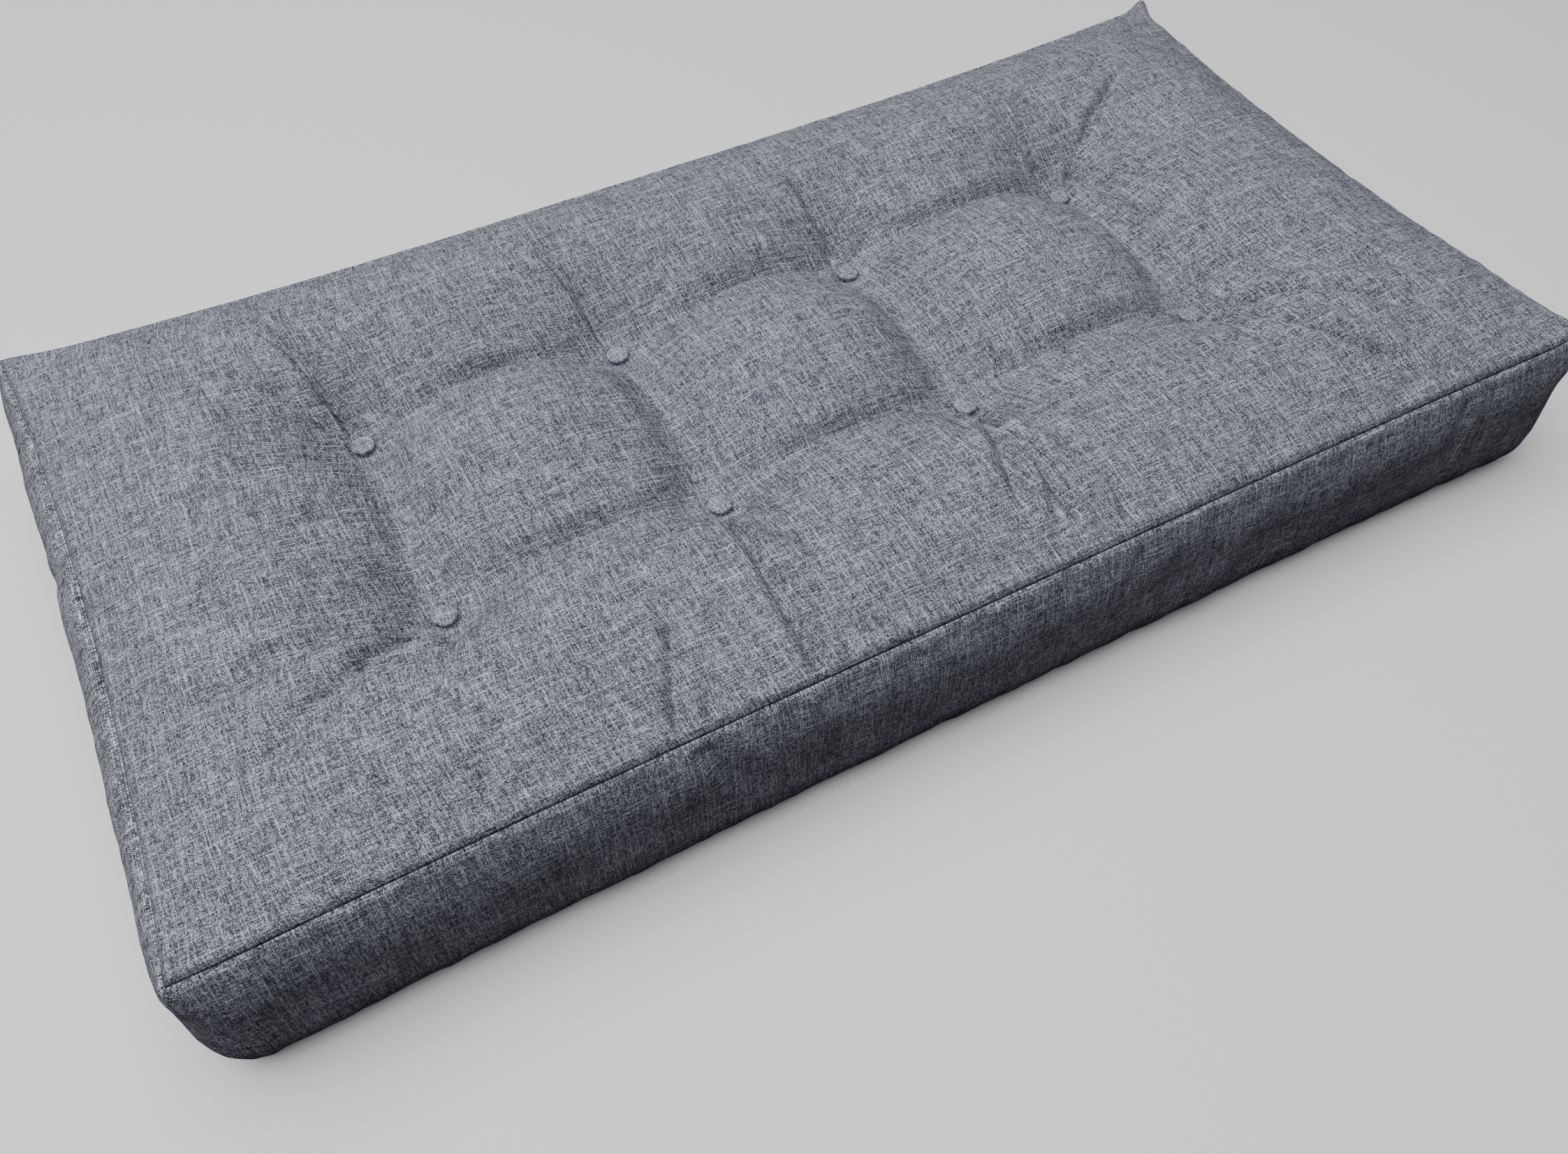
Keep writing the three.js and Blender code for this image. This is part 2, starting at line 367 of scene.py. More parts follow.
# Height of the top panel, from its large forms down to its gathers
def topHeight(x, y):
    x, y = np.broadcast_arrays(x, y)
    insideEnd = halfLength - np.abs(x)
    insideSide = halfDepth - np.abs(y)
    toSeam = np.minimum(insideEnd, insideSide)
    lift, near = cornerShare(x, y)
    z = cushion["seamHeight"] + cushion["crownRise"] * shoulder(insideEnd) * shoulder(insideSide)
    z = z + lift * near
    toButton = np.hypot(nearest(x, columnLines), nearest(y, rowLines))
    soft = valley["buttonRound"] * hump(toButton, valley["buttonReach"])
    toColumn = rounded(nearest(x, columnLines), valley["columnRound"] + soft)
    toRow = rounded(nearest(y, rowLines), valley["rowRound"] + soft)
    column = clamp01(1 - toColumn / valley["halfColumn"]) ** 2
    column = column * (1 - ease(beyond(y, rowLines, halfDepth) / valley["columnRun"]))
    row = clamp01(1 - toRow / valley["halfRow"]) ** 2
    row = row * (1 - ease(beyond(x, columnLines, halfLength) / valley["rowRun"]))
    z = z - valley["columnDrop"] * column - valley["rowDrop"] * row + valley["crossing"] * column * row
    betweenRows = 1 - clamp01(1 - nearest(y, rowLines) / valley["halfRow"]) ** 2
    betweenRows = betweenRows * (1 - ease(beyond(y, rowLines, halfDepth) / crease["columnRun"]))
    z = z - crease["columnDepth"] * clamp01(1 - toColumn / crease["columnWidth"]) ** 2 * betweenRows
    betweenColumns = 1 - clamp01(1 - nearest(x, columnLines) / valley["halfColumn"]) ** 2
    betweenColumns = betweenColumns * (1 - ease(beyond(x, columnLines, halfLength) / crease["rowRun"]))
    z = z - crease["rowDepth"] * clamp01(1 - toRow / crease["rowWidth"]) ** 2 * betweenColumns
    z = z - valley["wellDepth"] * hump(toButton, valley["wellRadius"])
    z = z + collar["height"] * hump(toButton - collar["radius"], collar["width"])
    free = ease(toSeam / seam["foldsEnd"])
    offSeat = ease((toButton - valley["seatRadius"]) / valley["calm"])
    z = z + free * foldShape(x, y) + offSeat * gatherShape(x, y)
    for lump in lumps:
        z = z + free * offSeat * lump["height"] * ripple(x, y, lump["wavelength"], lump["seed"])
    flatter = seam["backFlatter"] * alongBack(x, (insideSide < insideEnd) & (y > 0))
    wider = np.where((insideEnd < insideSide) & (x < 0), seam["leftWider"], 1)
    z = z + seamProfile(toSeam, 1 - flatter, wider)
    along = np.where(insideEnd < insideSide, y, x)
    pucker = ripple(along, np.zeros_like(along), seam["gatherLength"], seam["gatherSeeds"]["top"])
    pucker = pucker * ease(toSeam / seam["gatherStart"]) * (1 - ease(toSeam / seam["gatherReach"]))
    z = z + seam["gather"] * pucker
    seat = ease((toButton - valley["seatRadius"]) / valley["seatEdge"])
    return seatHeight + (z - seatHeight) * seat


# Where a point of the flat panel comes to lie once its sides are drawn in
def drawIn(x, y):
    x, y = np.broadcast_arrays(x, y)
    outerX = clamp01((np.abs(x) - columnLines[-1]) / (halfLength - columnLines[-1])) ** 2
    outerY = clamp01((np.abs(y) - rowLines[-1]) / (halfDepth - rowLines[-1])) ** 2
    amount = cushion["drawnIn"]
    end = np.where(x < 0, amount["left"], amount["right"]) * (
        1 - np.abs(y / halfDepth) ** cushion["endPower"])
    side = np.where(y < 0, amount["front"], amount["back"]) * (
        1 - np.abs(x / halfLength) ** cushion["sidePower"])
    return x - np.sign(x) * outerX * end, y - np.sign(y) * outerY * side


# The boxing, the upright band between the top and the bottom panel
boxing = {
    "bulge": 0.014,
    "bulgePower": 2.2,
    "full": 0.054,  # depth below the seam where the bulge is full
    "turn": 0.104,  # depth where it starts to turn under
    "tuckUnder": 0.003,
    "leftSwell": 0.0098,  # how much further the left end bulges
    "swellFull": 0.026,  # depth where that is full
    "swellEnd": 0.090,  # depth where it starts to die away
    "swellTail": 0.050,
    "swellPower": 4,  # how late it dies away towards the corners
    "sharpCorner": 0.00001,
    "cornerRound": 0.024,
    "cornerShare": 0.85,
    "lumpAlong": 1.3,  # how the lumps of filling differ from those of the top
    "lumpDown": 0.8,
    "lumpShare": 1.1,
    "lumpShift": 0.4,
    "lumpSeed": 20,
    "gatherShare": 1.2,
    "gatherStart": 0.008,
    "gatherReach": 0.045,
}

# Soft creases in the boxing, each on a side, at a distance from that side's middle, leaning by a
# slope, from one height share to another, with a depth and a half width in mm.
boxingFoldColumns = ("side", "place", "slope", "top", "bottom", "depth", "halfWidth")
boxingFoldRows = (
    ("front", -0.250, 0.55, 0.0, 0.60, 5.0, 10),
    ("front", 0.462, 0.12, 0.05, 0.8, 3.0, 7),
    ("front", 0.130, -0.30, 0.0, 0.5, 1.6, 9),
    ("front", -0.430, 0.20, 0.1, 0.7, 1.6, 9),
    ("front", 0.330, -0.15, 0.0, 0.45, 1.8, 8),
    ("left", 0.060, 0.25, 0.0, 0.6, 1.8, 9),
    ("left", -0.150, -0.20, 0.1, 0.7, 1.6, 8),
    ("right", -0.120, 0.20, 0.0, 0.6, 1.8, 9),
    ("right", 0.140, -0.25, 0.1, 0.8, 1.6, 8),
    ("back", -0.320, 0.30, 0.0, 0.6, 2.2, 9),
    ("back", 0.060, -0.25, 0.0, 0.6, 2.0, 9),
    ("back", 0.380, 0.20, 0.1, 0.8, 2.0, 8),
)
boxingFolds = [dict(zip(boxingFoldColumns, row)) for row in boxingFoldRows]
boxingFoldForm = {
    "lead": 0.12,  # share of the boxing's height over which a crease deepens
    "tail": 0.25,
    "ridge": 0.3,
    "ridgeOffset": 1.9,
    "ridgeSpread": 1.4,
}


def boxingBulge(depth):
    out = 1 - clamp01(1 - depth / boxing["full"]) ** boxing["bulgePower"]
    under = clamp01((depth - boxing["turn"]) / (cushion["seamHeight"] - boxing["turn"])) ** 2
    return boxing["bulge"] * out - (boxing["bulge"] + boxing["tuckUnder"]) * under


def boxingRelief(x, y, side, depth):
    share = depth / cushion["seamHeight"]
    total = np.zeros(np.broadcast(x, depth).shape)
    along = np.where((side == "front") | (side == "back"), x, y)
    lead, tail = boxingFoldForm["lead"], boxingFoldForm["tail"]
    for fold in boxingFolds:
        across = along - fold["place"] - fold["slope"] * depth
        fade = ease((share - fold["top"]) / lead) * (1 - ease((share - fold["bottom"] + tail) / tail))
        fade = fade * (side == fold["side"])
        width = fold["halfWidth"] * millimetre
        offset, spread = boxingFoldForm["ridgeOffset"] * width, boxingFoldForm["ridgeSpread"] * width
        ridge = boxingFoldForm["ridge"] * hump(np.abs(across) - offset, spread)
        total -= fold["depth"] * millimetre * fade * (hump(across, width) - ridge)
    return total


# Gathers of the boxing beside a seam, at a distance from it
def boxingGathers(run, distance, seed):
    pucker = ripple(run, np.zeros_like(run), seam["gatherLength"], seed)
    start, end = ease(distance / boxing["gatherStart"]), ease(distance / boxing["gatherReach"])
    return seam["gather"] * pucker * start * (1 - end)


# Points of the boxing below the points x, y of the seam, at each depth
def boxingPoints(x, y, side, depth):
    radius = boxing["cornerRound"] * ease(depth / boxing["full"]) + boxing["sharpCorner"]
    coreX = np.clip(x, radius - halfLength, halfLength - radius)
    coreY = np.clip(y, radius - halfDepth, halfDepth - radius)
    away = np.maximum(np.hypot(x - coreX, y - coreY), tiny)
    outX = (x - coreX) / away
    outY = (y - coreY) / away
    corner = clamp01(2 * np.minimum(np.abs(outX), np.abs(outY)))
    bulge = boxingBulge(depth) * (1 - (1 - boxing["cornerShare"]) * corner)
    swell = boxing["leftSwell"] * clamp01(-outX) * (1 - (coreY / halfDepth) ** boxing["swellPower"])
    swell = swell * (1 - clamp01(1 - depth / boxing["swellFull"]) ** 2)
    swell = swell * (1 - ease((depth - boxing["swellEnd"]) / boxing["swellTail"]))
    seamX, seamY = drawIn(coreX + outX * radius, coreY + outY * radius)
    share = depth / cushion["seamHeight"]
    belly = np.sin(np.pi * clamp01(share))
    run = np.where((side == "front") | (side == "back"), x, y)
    relief = boxingRelief(x, y, side, depth)
    lumpRun = run * boxing["lumpAlong"]
    lumpDepth = depth * boxing["lumpDown"] + boxing["lumpShift"] * (y > 0)
    for lump in lumps:
        wave = ripple(lumpRun, lumpDepth, lump["wavelength"], lump["seed"] + boxing["lumpSeed"])
        relief = relief + belly * lump["height"] * boxing["lumpShare"] * wave
    seeds = seam["gatherSeeds"]
    relief = relief + boxing["gatherShare"] * boxingGathers(run, depth, seeds["boxing"])
    relief = relief + boxingGathers(run, cushion["seamHeight"] - depth, seeds["bottom"])
    wider = np.where(side == "left", seam["leftWider"], 1)
    out = bulge + swell + relief + seamProfile(depth, 1, wider)
    lip = np.where(side == "front", seam["frontLip"], 1)
    lip = lip * (1 - hump(depth, seam["grooveWidth"] * wider))
    z = (topHeight(x, y) + seam["groove"] * lip) * (1 - share)
    standing = hump(depth - seam["backLipDepth"], seam["backLipWidth"])
    z = z + seam["backLip"] * alongBack(x, side == "back") * standing
    return seamX + outX * out, seamY + outY * out, z


# Where the top panel is sampled: offsets to either side of a line of buttons and inside the seam,
# then even steps between them. All in mm.
sampling = {
    "besideLine": (0, 3.6, 7.4, 10.9, 11.8, 12.8, 14.2, 17.0, 21.4, 26),
    "insideSeam": (0, 0.8, 1.6, 2.5, 3.6, 5.0, 7.0, 9.6, 13, 17.5, 23),
    "step": (3.9, 4.0),
    "coarser": 1.6,
    "splitMargin": 9,  # how far from the seam squares may be split
    "denseDepths": (0.8, 1.6, 2.5, 3.7, 5.4, 7.8, 11, 15),
    "sparseDepths": (
        20, 26, 33, 41, 50, 60, 71, 83, 95, 106, 116, 125, 133, 139, 143.5, 146.8, 149.2, 151),
    "bottomRings": (0.985, 0.92, 0.70, 0.35),  # shares of the bottom panel's size
    "ringReach": (18, 36),  # where the lines round a button turn from circles back to squares
}


def sampleLines(lines, end, step):
    inner = [line + side * offset for line in lines for side in (-1, 1)
             for offset in np.array(sampling["besideLine"]) * millimetre]
    outer = [side * (end - offset) for side in (-1, 1)
             for offset in np.array(sampling["insideSeam"]) * millimetre]
    anchors = np.unique(np.round(inner + outer, 6))
    step = step * millimetre * 1
    gaps = np.diff(anchors)
    cuts = np.maximum(1, np.round(gaps / step)).astype(int)
    if (cuts.sum() % 2) == 1:
        cuts[np.argmax(gaps / cuts)] += 1
    parts = [np.linspace(a, b, n, endpoint=False) for a, b, n in zip(anchors, anchors[1:], cuts)]
    return np.concatenate(parts + [anchors[-1:]])


# Bend the sample lines near each button into rings
def ringsRoundButtons(x, y):
    near, far = (reach * millimetre for reach in sampling["ringReach"])
    for lineX in columnLines:
        for lineY in rowLines:
            dx, dy = x - lineX, y - lineY
            square = np.maximum(np.abs(dx), np.abs(dy))
            away = np.maximum(np.hypot(dx, dy), tiny)
            turn = 1 + (square / away - 1) * (1 - ease((square - near) / (far - near)))
            turn = np.where(square < tiny, 1, turn)
            x = np.where(square < far, lineX + dx * turn, x)
            y = np.where(square < far, lineY + dy * turn, y)
    return x, y


def meshPiece(name, points, faces, uvs):
    mesh = bpy.data.meshes.new(name)
    mesh.from_pydata(points.tolist(), [], faces)
    layer = mesh.uv_layers.new(name="cloth")
    layer.data.foreach_set("uv", np.asarray(uvs, dtype=np.float32).ravel())
    mesh.shade_smooth()
    mesh.validate()
    piece = bpy.data.objects.new(name, mesh)
    bpy.context.scene.collection.objects.link(piece)
    return piece


# Faces of the top grid. Where a fold passes a square is split in four, and its neighbours take up
# the points halfway along their shared sides, so that the mesh stays closed.
def topFaces(index, split):
    halfways = []
    places = {}

    def halfway(*corners):
        key = tuple(sorted(corners))
        if key not in places:
            places[key] = index.size + len(halfways)
            halfways.append(key)
        return places[key]

    padded = np.pad(split, 1)
    faces = []
    for row, column in np.ndindex(split.shape):
        a, b = int(index[row, column]), int(index[row, column + 1])
        c, d = int(index[row + 1, column + 1]), int(index[row + 1, column])
        if split[row, column]:
            ab, bc, cd, da = halfway(a, b), halfway(b, c), halfway(c, d), halfway(d, a)
            mid = halfway(a, b, c, d)
            faces += [[a, ab, mid, da], [ab, b, bc, mid], [mid, bc, c, cd], [da, mid, cd, d]]
            continue
        face = [a]
        for here, there, isSplit in (
                (a, b, padded[row, column + 1]), (b, c, padded[row + 1, column + 2]),
                (c, d, padded[row + 2, column + 1]), (d, a, padded[row + 1, column])):
            if isSplit:
                face.append(halfway(here, there))
            if there != a:
                face.append(there)
        faces.append(face)
    return faces, halfways, index.size + len(halfways)


# Where a point of the top lies on the cloth, which slipped a little as the buttons pulled it down
def clothPlace(x, y):
    fallen = topHeight(x, y) - cushion["seamHeight"]
    waves = [ripple(x, y, cloth["wanderLength"], seed) for seed in cloth["wanderSeeds"]]
    u = x + cloth["slip"][0] * fallen + cloth["wander"] * waves[0]
    v = y + cloth["slip"][1] * fallen + cloth["wander"] * waves[1]
    return np.stack([u, v], -1)


def quadsBetween(ring, below):
    return np.stack([ring, below, np.roll(below, -1), np.roll(ring, -1)], -1)


# Cloth coordinates of a row of faces, corner by corner: how far along the boxing, and how far up
def rowCloth(*corners):
    pairs = [np.stack([along, np.full(len(along), up)], -1) for along, up in corners]
    return np.stack(pairs, 1).reshape(-1, 2)


def makeCushion():
    xs = sampleLines(columnLines, halfLength, sampling["step"][0])
    ys = sampleLines(rowLines, halfDepth, sampling["step"][1])
    nx, ny = len(xs), len(ys)
    gridX, gridY = ringsRoundButtons(*np.meshgrid(xs, ys))
    topX, topY = drawIn(gridX, gridY)
    points = [np.stack([topX, topY, topHeight(gridX, gridY)], -1).reshape(-1, 3)]

    # The top panel, with finer faces where a fold passes
    index = np.arange(nx * ny).reshape(ny, nx)
    centreX = (gridX[:-1, :-1] + gridX[1:, 1:]) / 2
    centreY = (gridY[:-1, :-1] + gridY[1:, 1:]) / 2
    toEdge = np.minimum(halfLength - np.abs(centreX), halfDepth - np.abs(centreY))
    split = inFold(centreX, centreY) & (toEdge > sampling["splitMargin"] * millimetre)
    faces, halfways, total = topFaces(index, split)
    flat = np.stack([gridX, gridY], -1).reshape(-1, 2)
    extra = np.array([flat[list(corners)].mean(0) for corners in halfways])
    extraX, extraY = drawIn(extra[:, 0], extra[:, 1])
    points.append(np.stack([extraX, extraY, topHeight(extra[:, 0], extra[:, 1])], -1))
    flat = np.concatenate([flat, extra])
    uvs = [clothPlace(*flat[np.concatenate(faces)].T)]

    # The seam once round, anticlockwise from the front left corner
    rimX = np.concatenate([xs[:-1], np.full(ny - 1, xs[-1]), xs[:0:-1], np.full(ny - 1, xs[0])])
    rimY = np.concatenate([np.full(nx - 1, ys[0]), ys[:-1], np.full(nx - 1, ys[-1]), ys[:0:-1]])
    rimSide = np.repeat(["front", "right", "back", "left"], [nx - 1, ny - 1, nx - 1, ny - 1])
    ring = np.concatenate([index[0, :-1], index[:-1, -1], index[-1, :0:-1], index[:0:-1, 0]])
    lengths = np.hypot(np.diff(rimX, append=rimX[:1]), np.diff(rimY, append=rimY[:1]))
    along = cloth["boxingPlace"] + np.concatenate([[0], np.cumsum(lengths)])
    above = 0.0

    # The boxing: every point of the seam near it, every second one further down
    def boxingRing(depth, keep):
        x, y, z = boxingPoints(rimX[keep], rimY[keep], rimSide[keep], np.full(len(keep), depth))
        points.append(np.stack([x, y, z if depth < cushion["seamHeight"] - tiny else 0 * z], -1))
        return total + np.arange(len(keep))

    every = np.arange(len(rimX))
    second = every[::2]
    for millimetres in sampling["denseDepths"]:
        depth = millimetres * millimetre
        below = boxingRing(depth, every)
        total += len(every)
        faces += quadsBetween(ring, below).tolist()
        start, end = along[:-1], along[1:]
        uvs.append(rowCloth((start, -above), (start, -depth), (end, -depth), (end, -above)))
        ring, above = below, depth

    # One row of triangles from the close points to the wider ones
    depth = sampling["sparseDepths"][0] * millimetre
    below = boxingRing(depth, second)
    total += len(second)
    a, b, c = ring[::2], ring[1::2], np.roll(ring[::2], -1)
    start, half, end = along[:-1:2], along[1::2], along[2::2]
    d, e = below, np.roll(below, -1)
    for corners, spots in (
            ((a, d, b), ((start, -above), (start, -depth), (half, -above))),
            ((d, e, b), ((start, -depth), (end, -depth), (half, -above))),
            ((b, e, c), ((half, -above), (end, -depth), (end, -above)))):
        faces += np.stack(corners, -1).tolist()
        uvs.append(rowCloth(*spots))
    ring, above = below, depth
    for millimetres in sampling["sparseDepths"][1:]:
        depth = millimetres * millimetre
        below = boxingRing(depth, second)
        total += len(second)
        faces += quadsBetween(ring, below).tolist()
        uvs.append(rowCloth((start, -above), (start, -depth), (end, -depth), (end, -above)))
        ring, above = below, depth

    # The flat bottom panel: rings that close in on its middle
    edge = points[-1]
    for share in sampling["bottomRings"]:
        points.append(edge * [share, share, 0])
        below = total + np.arange(len(edge))
        total += len(edge)
        quads = quadsBetween(ring, below)
        faces += quads.tolist()
        uvs.append(np.concatenate(points)[quads][..., :2].reshape(-1, 2) + cloth["bottomPlace"])
        ring = below
    points.append(np.zeros((1, 3)))
    fan = np.stack([ring, np.full(len(ring), total), np.roll(ring, -1)], -1)
    faces += fan.tolist()
    uvs.append(np.concatenate(points)[fan][..., :2].reshape(-1, 2) + cloth["bottomPlace"])

    allPoints = np.concatenate(points)
    allPoints[:, :2] += middle
    triangles = sum(len(face) - 2 for face in faces)
    print("cushion cover:", len(allPoints), "points,", triangles, "triangles")
    return meshPiece("cushion_cover", allPoints, faces, np.concatenate(uvs))


# Covered buttons

button = {
    "radius": 0.0098,
    "edge": 0.0050,  # height of the widest part above the base
    "height": 0.0076,
    "baseRadius": 0.0083,
    "domePower": 3.0,
    "domeRound": 0.6,
    "steps": 56,
    "rings": 14,
    "baseRings": (0.35, 0.8, 1.0),  # shares of the base's radius
    "pleats": 9,
    "pleatStart": 0.7,  # share of the radius past which the cloth is pleated
    "pleatDepth": 0.00025,
    "stretch": 0.25,  # how much the cloth is stretched towards the rim
    "turns": ((8, -5, 12, -9), (-6, 10, -12, 4)),  # degrees that each button's cloth is turned
}


def makeButton(name, turn):
    low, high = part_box(name)
    cx, cy = (low.x + high.x) / 2, (low.y + high.y) / 2
    angles = np.linspace(0, math.tau, button["steps"], endpoint=False)
    profile = [(button["baseRadius"] * share, 0.0) for share in button["baseRings"]]
    for t in np.linspace(0, 1, button["rings"])[:-1]:
        share = math.cos(t * math.pi / 2)
        rise = (1 - share ** button["domePower"]) ** button["domeRound"]
        rise = (button["height"] - button["edge"]) * rise
        profile.append((button["radius"] * share, button["edge"] + rise))
    points = [(0.0, 0.0, 0.0)]
    for radius, z in profile:
        away = (radius / button["radius"] - button["pleatStart"]) / (1 - button["pleatStart"])
        away = clamp01(away) if z > 0 else 0
        wave = np.sin(button["pleats"] * angles + turn)
        reaches = radius * (1 + button["pleatDepth"] / button["radius"] * away * wave)
        points += [(reach * math.cos(a), reach * math.sin(a), z) for a, reach in zip(angles, reaches)]
    points.append((0.0, 0.0, button["height"]))
    steps = button["steps"]
    faces = [(0, 1 + (i + 1) % steps, 1 + i) for i in range(steps)]
    for ring in range(len(profile) - 1):
        a, b = 1 + ring * steps, 1 + (ring + 1) * steps
        faces += [(a + i, a + (i + 1) % steps, b + (i + 1) % steps, b + i) for i in range(steps)]
    last = 1 + (len(profile) - 1) * steps
    faces += [(last + i, last + (i + 1) % steps, len(points) - 1) for i in range(steps)]
    points = np.array(points)
    c, s = math.cos(math.radians(turn)), math.sin(math.radians(turn))
    x, y = points[:, 0], points[:, 1]
    spread = 1 + button["stretch"] * (np.hypot(x, y) / button["radius"]) ** 2
    flat = np.stack([c * x - s * y, s * x + c * y], -1) * spread[:, None] + [cx, cy]
    uvs = np.concatenate([flat[list(face)] for face in faces])
    points += [cx, cy, low.z]
    return meshPiece(name + "_cloth", points, faces, uvs)


# Materials

class Wire:
    # One socket of a shader tree, so that maths on it can be written as an expression
    def __init__(self, tree, socket):
        self.tree, self.socket = tree, socket

    def node(self, kind, settings=None, values=None, outlet=0):
        made = self.tree.nodes.new(kind)
        for name, value in (settings or {}).items():
            if name == "stops":
                ramp = made.color_ramp.elements
                while len(ramp) < len(value):
                    ramp.new(0.5)
                for element, (place, colour) in zip(ramp, value):
                    element.position, element.color = place, colour
            else:
                setattr(made, name, value)
        for key, value in (values or {}).items():
            if isinstance(value, Wire):
                self.tree.links.new(value.socket, made.inputs[key])
            else:
                made.inputs[key].default_value = value
        return Wire(self.tree, made.outputs[outlet])

    def maths(self, operation, *others):
        return self.node("ShaderNodeMath", {"operation": operation}, dict(enumerate((self,) + others)))

    def swapped(self, operation, other):
        return self.node("ShaderNodeMath", {"operation": operation}, {0: other, 1: self})

    def __add__(self, other):
        return self.maths("ADD", other)

    def __radd__(self, other):
        return self.swapped("ADD", other)

    def __sub__(self, other):
        return self.maths("SUBTRACT", other)

    def __rsub__(self, other):
        return self.swapped("SUBTRACT", other)

    def __mul__(self, other):
        return self.maths("MULTIPLY", other)

    def __rmul__(self, other):
        return self.swapped("MULTIPLY", other)

    def __truediv__(self, other):
        return self.maths("DIVIDE", other)

    def __mod__(self, other):
        return self.maths("FLOORED_MODULO", other)


# The cloth, a grey melange: plain weave with yarns of uneven tone and thickness
cloth = {
    "yarn": 0.00075,  # width of one yarn
    "streak": 0.0080,  # how long a light or dark stretch of yarn is
    "slub": 0.031,  # how long a thick stretch is
    "patch": 0.008,  # size of the lighter and darker patches
    "upper": 0.80,  # how much of a crossing shows the upper yarn
    "thick": 0.30,  # how far a thick yarn hides the one that it crosses
    "dark": (0.0165, 0.0175, 0.0245, 1),
    "mid": (0.146, 0.152, 0.193, 1),
    "light": (0.76, 0.78, 0.88, 1),
    "roughness": 0.95,
    "coverLightness": 0.25,
    # the buttons' cloth is painted lighter than the cover's: painted light, for the light on their flat
    # tops
    "buttonLightnessWithPaintedLight": 0.33,
    "contrast": 1.13,
    "streakTone": 0.62,  # what each kind of unevenness adds to the tone
    "slubTone": 0.54,
    "slubGain": 0.30,
    "slubBright": 0.17,  # above this a thick stretch is brighter still
    "grain": 0.48,
    "patchTone": 0.05,
    # painted light on the crossings where the warp lies on top
    "checkPaintedLight": 0.16,
    # painted light in the middle of each crossing, where the yarn stands up
    "roundPaintedLight": 0.50,
    "weftStreak": 1.1,  # how much longer than in the warp the stretches are
    "weftSlub": 1.2,
    "nextYarn": 7.31,  # how far apart in the noise two neighbouring yarns are
    "warpSeeds": {"streak": 0.0, "slub": 13.0},
    "weftSeeds": {"streak": 41.0, "slub": 77.0},
    "bump": 0.5,
    "bumpHeight": 0.0003,
    "slip": (0.25, 0.50),  # how far the cloth slipped, along and across, for each unit of height
    "wander": 0.00008,  # how far the yarns wander from straight
    "wanderLength": 0.09,
    "wanderSeeds": (31, 32),
    "boxingPlace": 3.0,  # where on the cloth the boxing and the bottom panel are cut
    "bottomPlace": (0.0, 2.0),
}


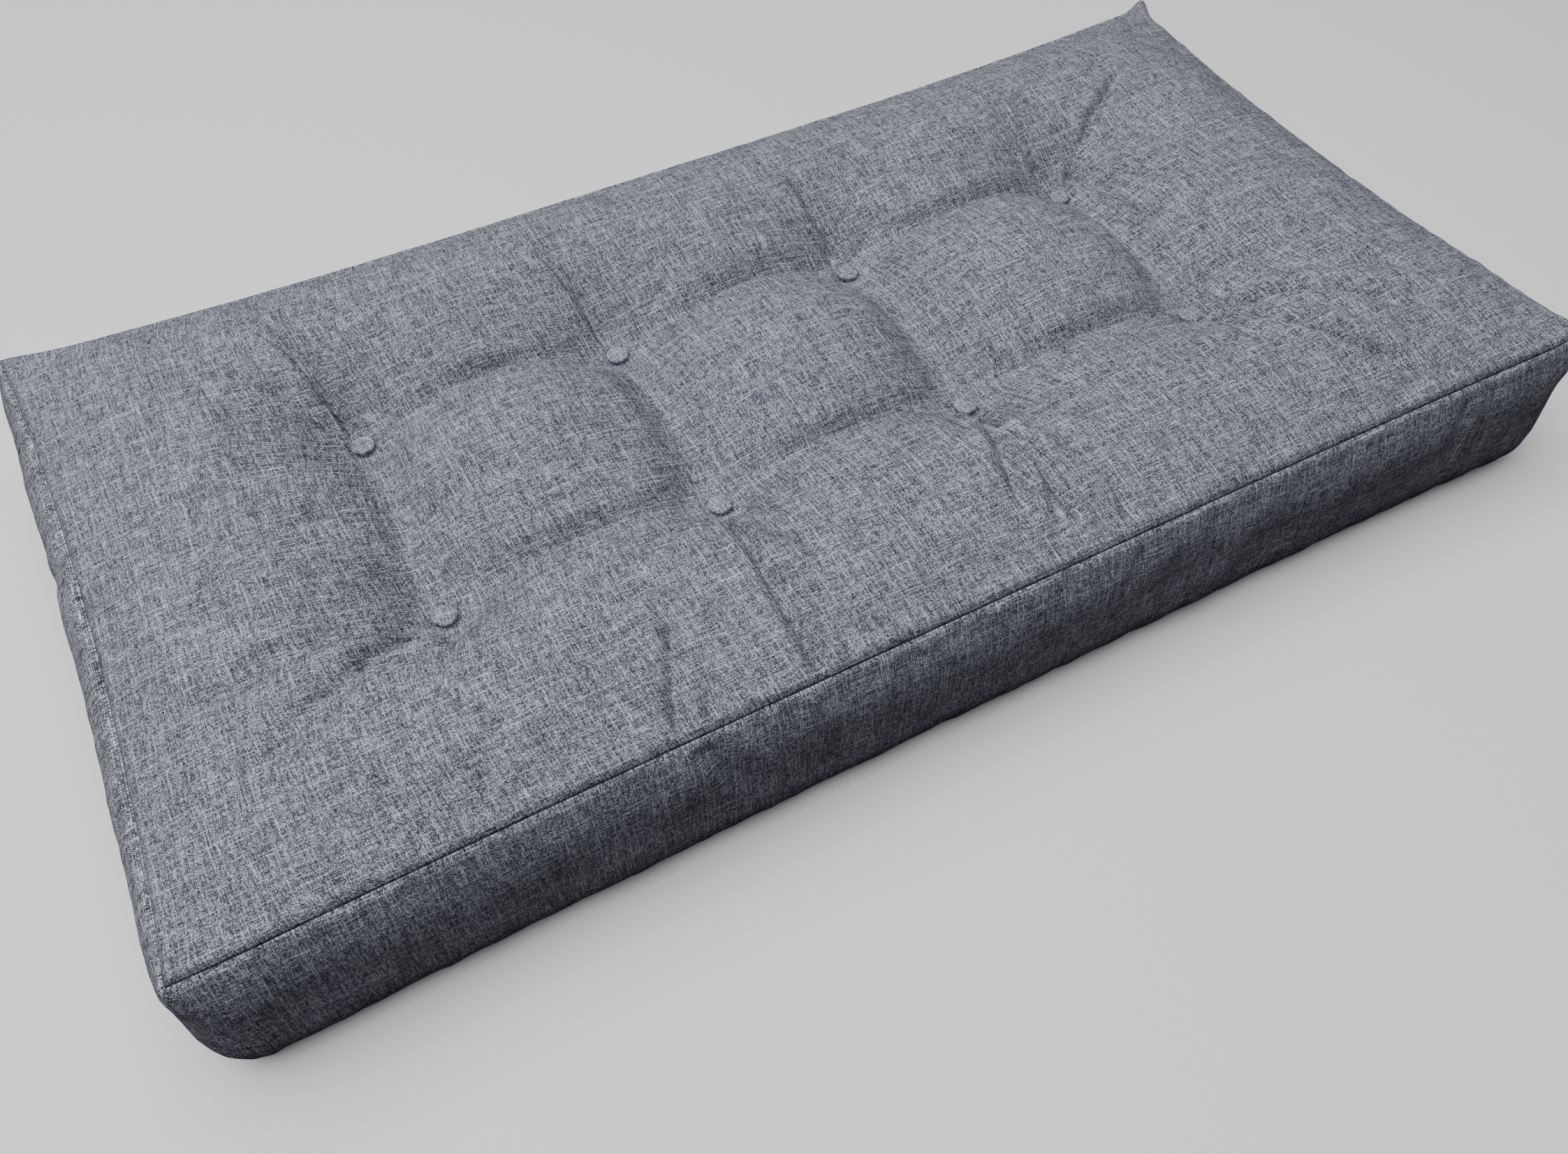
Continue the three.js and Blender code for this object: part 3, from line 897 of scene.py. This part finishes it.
def clothMaterial(name, lightness):
    material = bpy.data.materials.new(name)
    material.use_nodes = True
    tree = material.node_tree
    surface = tree.nodes["Principled BSDF"]
    start = Wire(tree, None)
    uv = start.node("ShaderNodeUVMap", {"uv_map": "cloth"})
    plane = {"noise_dimensions": "2D"}
    u = uv.node("ShaderNodeSeparateXYZ", None, {0: uv}, "X")
    v = uv.node("ShaderNodeSeparateXYZ", None, {0: uv}, "Y")
    warp = u / cloth["yarn"]
    weft = v / cloth["yarn"]
    warpIndex = warp.maths("FLOOR")
    weftIndex = weft.maths("FLOOR")

    # A tone that changes along a yarn, and from one yarn to the next
    def yarnTone(index, along, length, seed):
        place = index * cloth["nextYarn"] + seed
        spot = index.node("ShaderNodeCombineXYZ", None, {"X": place, "Y": along / length})
        noise = index.node("ShaderNodeTexNoise", plane, {"Vector": spot, "Scale": 1.0, "Detail": 0.0})
        return noise - 0.5

    def brightness(slub):
        return (slub - cloth["slubBright"]).maths("MAXIMUM", 0.0)

    warpSeeds, weftSeeds = cloth["warpSeeds"], cloth["weftSeeds"]
    warpSlub = yarnTone(warpIndex, v, cloth["slub"], warpSeeds["slub"])
    weftSlub = yarnTone(weftIndex, u, cloth["slub"] * cloth["weftSlub"], weftSeeds["slub"])
    warpStreak = yarnTone(warpIndex, v, cloth["streak"], warpSeeds["streak"])
    weftStreak = yarnTone(weftIndex, u, cloth["streak"] * cloth["weftStreak"], weftSeeds["streak"])
    warpTone = warpStreak * cloth["streakTone"] + warpSlub * cloth["slubTone"]
    weftTone = weftStreak * cloth["streakTone"] + weftSlub * cloth["slubTone"]
    patch = uv.node(
        "ShaderNodeTexNoise", plane, {"Vector": uv, "Scale": 1 / cloth["patch"], "Detail": 0.0})
    over = (warpIndex + weftIndex) % 2.0
    warpShare = over * (2 * cloth["upper"] - 1) + (1 - cloth["upper"])
    warpShare = warpShare + (warpSlub - weftSlub) * cloth["thick"]
    warpShare = warpShare.maths("MAXIMUM", 0.0).maths("MINIMUM", 1.0)
    grain = uv.node("ShaderNodeCombineXYZ", None, {"X": warpIndex + 0.5, "Y": weftIndex + 0.5})
    grain = grain.node("ShaderNodeTexWhiteNoise", plane, {"Vector": grain}) - 0.5
    bright = brightness(warpSlub) + brightness(weftSlub)
    tone = warpTone * warpShare + weftTone * (1 - warpShare) + bright * cloth["slubGain"]
    tone = tone + grain * cloth["grain"]
    # The crossings where the warp lies on top are painted lighter: painted light, for the yarn that
    # faces the light there
    tone = tone + (patch - 0.5) * cloth["patchTone"] + (over - 0.5) * cloth["checkPaintedLight"]

    # Painted light and shade: each crossing is painted lighter in its middle, where the yarn stands up
    # into the light, and darker towards the gaps between yarns
    across = (warp * math.pi).maths("SINE")
    roundness = (across * (weft * math.pi).maths("SINE")).maths("ABSOLUTE")
    spread = tone * cloth["contrast"] + roundness * cloth["roundPaintedLight"] + lightness
    stops = ((0.0, cloth["dark"]), (0.5, cloth["mid"]), (1.0, cloth["light"]))
    colour = spread.node("ShaderNodeValToRGB", {"stops": stops}, {"Fac": spread})
    tree.links.new(colour.socket, surface.inputs["Base Color"])
    bump = roundness.node("ShaderNodeBump", None, {
        "Height": roundness, "Strength": cloth["bump"], "Distance": cloth["bumpHeight"]})
    tree.links.new(bump.socket, surface.inputs["Normal"])
    surface.inputs["Roughness"].default_value = cloth["roughness"]
    surface.inputs["Specular IOR Level"].default_value = 0.0
    return material


cover = makeCushion()
cover.data.materials.append(clothMaterial("grey_melange_cloth", cloth["coverLightness"]))
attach(cover, "root")
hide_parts("cushion")

# A lighter copy of the cloth for the buttons: painted light on their flat tops
buttonClothPaintedLighter = clothMaterial("grey_melange_button_cloth_painted_lighter", cloth["buttonLightnessWithPaintedLight"])
for rowNames, rowTurns in zip(buttonNames, button["turns"]):
    for buttonName, turn in zip(rowNames, rowTurns):
        piece = makeButton(buttonName, turn)
        piece.data.materials.append(buttonClothPaintedLighter)
        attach(piece, "root")
        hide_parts(buttonName)
print("buttons ready")


# Floor and light

studio = {
    "floorSize": 60.0,
    "floorColour": (0.90, 0.90, 0.91, 1),
    "floorRoughness": 0.9,
    "floorShine": 0.1,
    "sky": (0.90, 0.94, 1.0, 1),
    "skyStrength": 0.22,
    "horizon": 0.35,  # brightness of the sky at the horizon, as a share of that overhead
    "keyPlace": (-0.95, -0.05, 3.3),
    "keyTarget": (0, 0, 0.1),
    "keySize": 4.4,
    "keyPower": 186.0,
    "keyColour": (1.0, 0.985, 0.965),
}


def makeFloor():
    half = studio["floorSize"] / 2
    mesh = bpy.data.meshes.new("floor")
    corners = [(-half, -half, 0), (half, -half, 0), (half, half, 0), (-half, half, 0)]
    mesh.from_pydata(corners, [], [(0, 1, 2, 3)])
    floor = bpy.data.objects.new("floor", mesh)
    bpy.context.scene.collection.objects.link(floor)
    material = bpy.data.materials.new("floor")
    material.use_nodes = True
    surface = material.node_tree.nodes["Principled BSDF"]
    surface.inputs["Base Color"].default_value = studio["floorColour"]
    surface.inputs["Roughness"].default_value = studio["floorRoughness"]
    surface.inputs["Specular IOR Level"].default_value = studio["floorShine"]
    mesh.materials.append(material)
    floor.visible_diffuse = False


def makeKeyLight():
    light = bpy.data.objects.new("key", bpy.data.lights.new("key", "AREA"))
    light.data.shape = "DISK"
    light.data.size = studio["keySize"]
    light.data.energy = studio["keyPower"]
    light.data.color = studio["keyColour"]
    light.location = studio["keyPlace"]
    towards = Vector(studio["keyTarget"]) - Vector(studio["keyPlace"])
    light.rotation_euler = towards.to_track_quat("-Z", "Y").to_euler()
    bpy.context.scene.collection.objects.link(light)


# A sky that is brightest overhead and gives nothing from below
def makeSky():
    world = bpy.data.worlds.new("sky")
    world.use_nodes = True
    background = world.node_tree.nodes["Background"]
    background.inputs["Color"].default_value = studio["sky"]
    start = Wire(world.node_tree, None)
    direction = start.node("ShaderNodeTexCoord", outlet="Generated")
    height = start.node("ShaderNodeSeparateXYZ", None, {0: direction}, "Z")
    glow = (height * (1 - studio["horizon"]) + studio["horizon"]) * height.maths("GREATER_THAN", 0.0)
    world.node_tree.links.new((glow * studio["skyStrength"]).socket, background.inputs["Strength"])
    bpy.context.scene.world = world


makeFloor()
makeKeyLight()
makeSky()
print("studio ready")
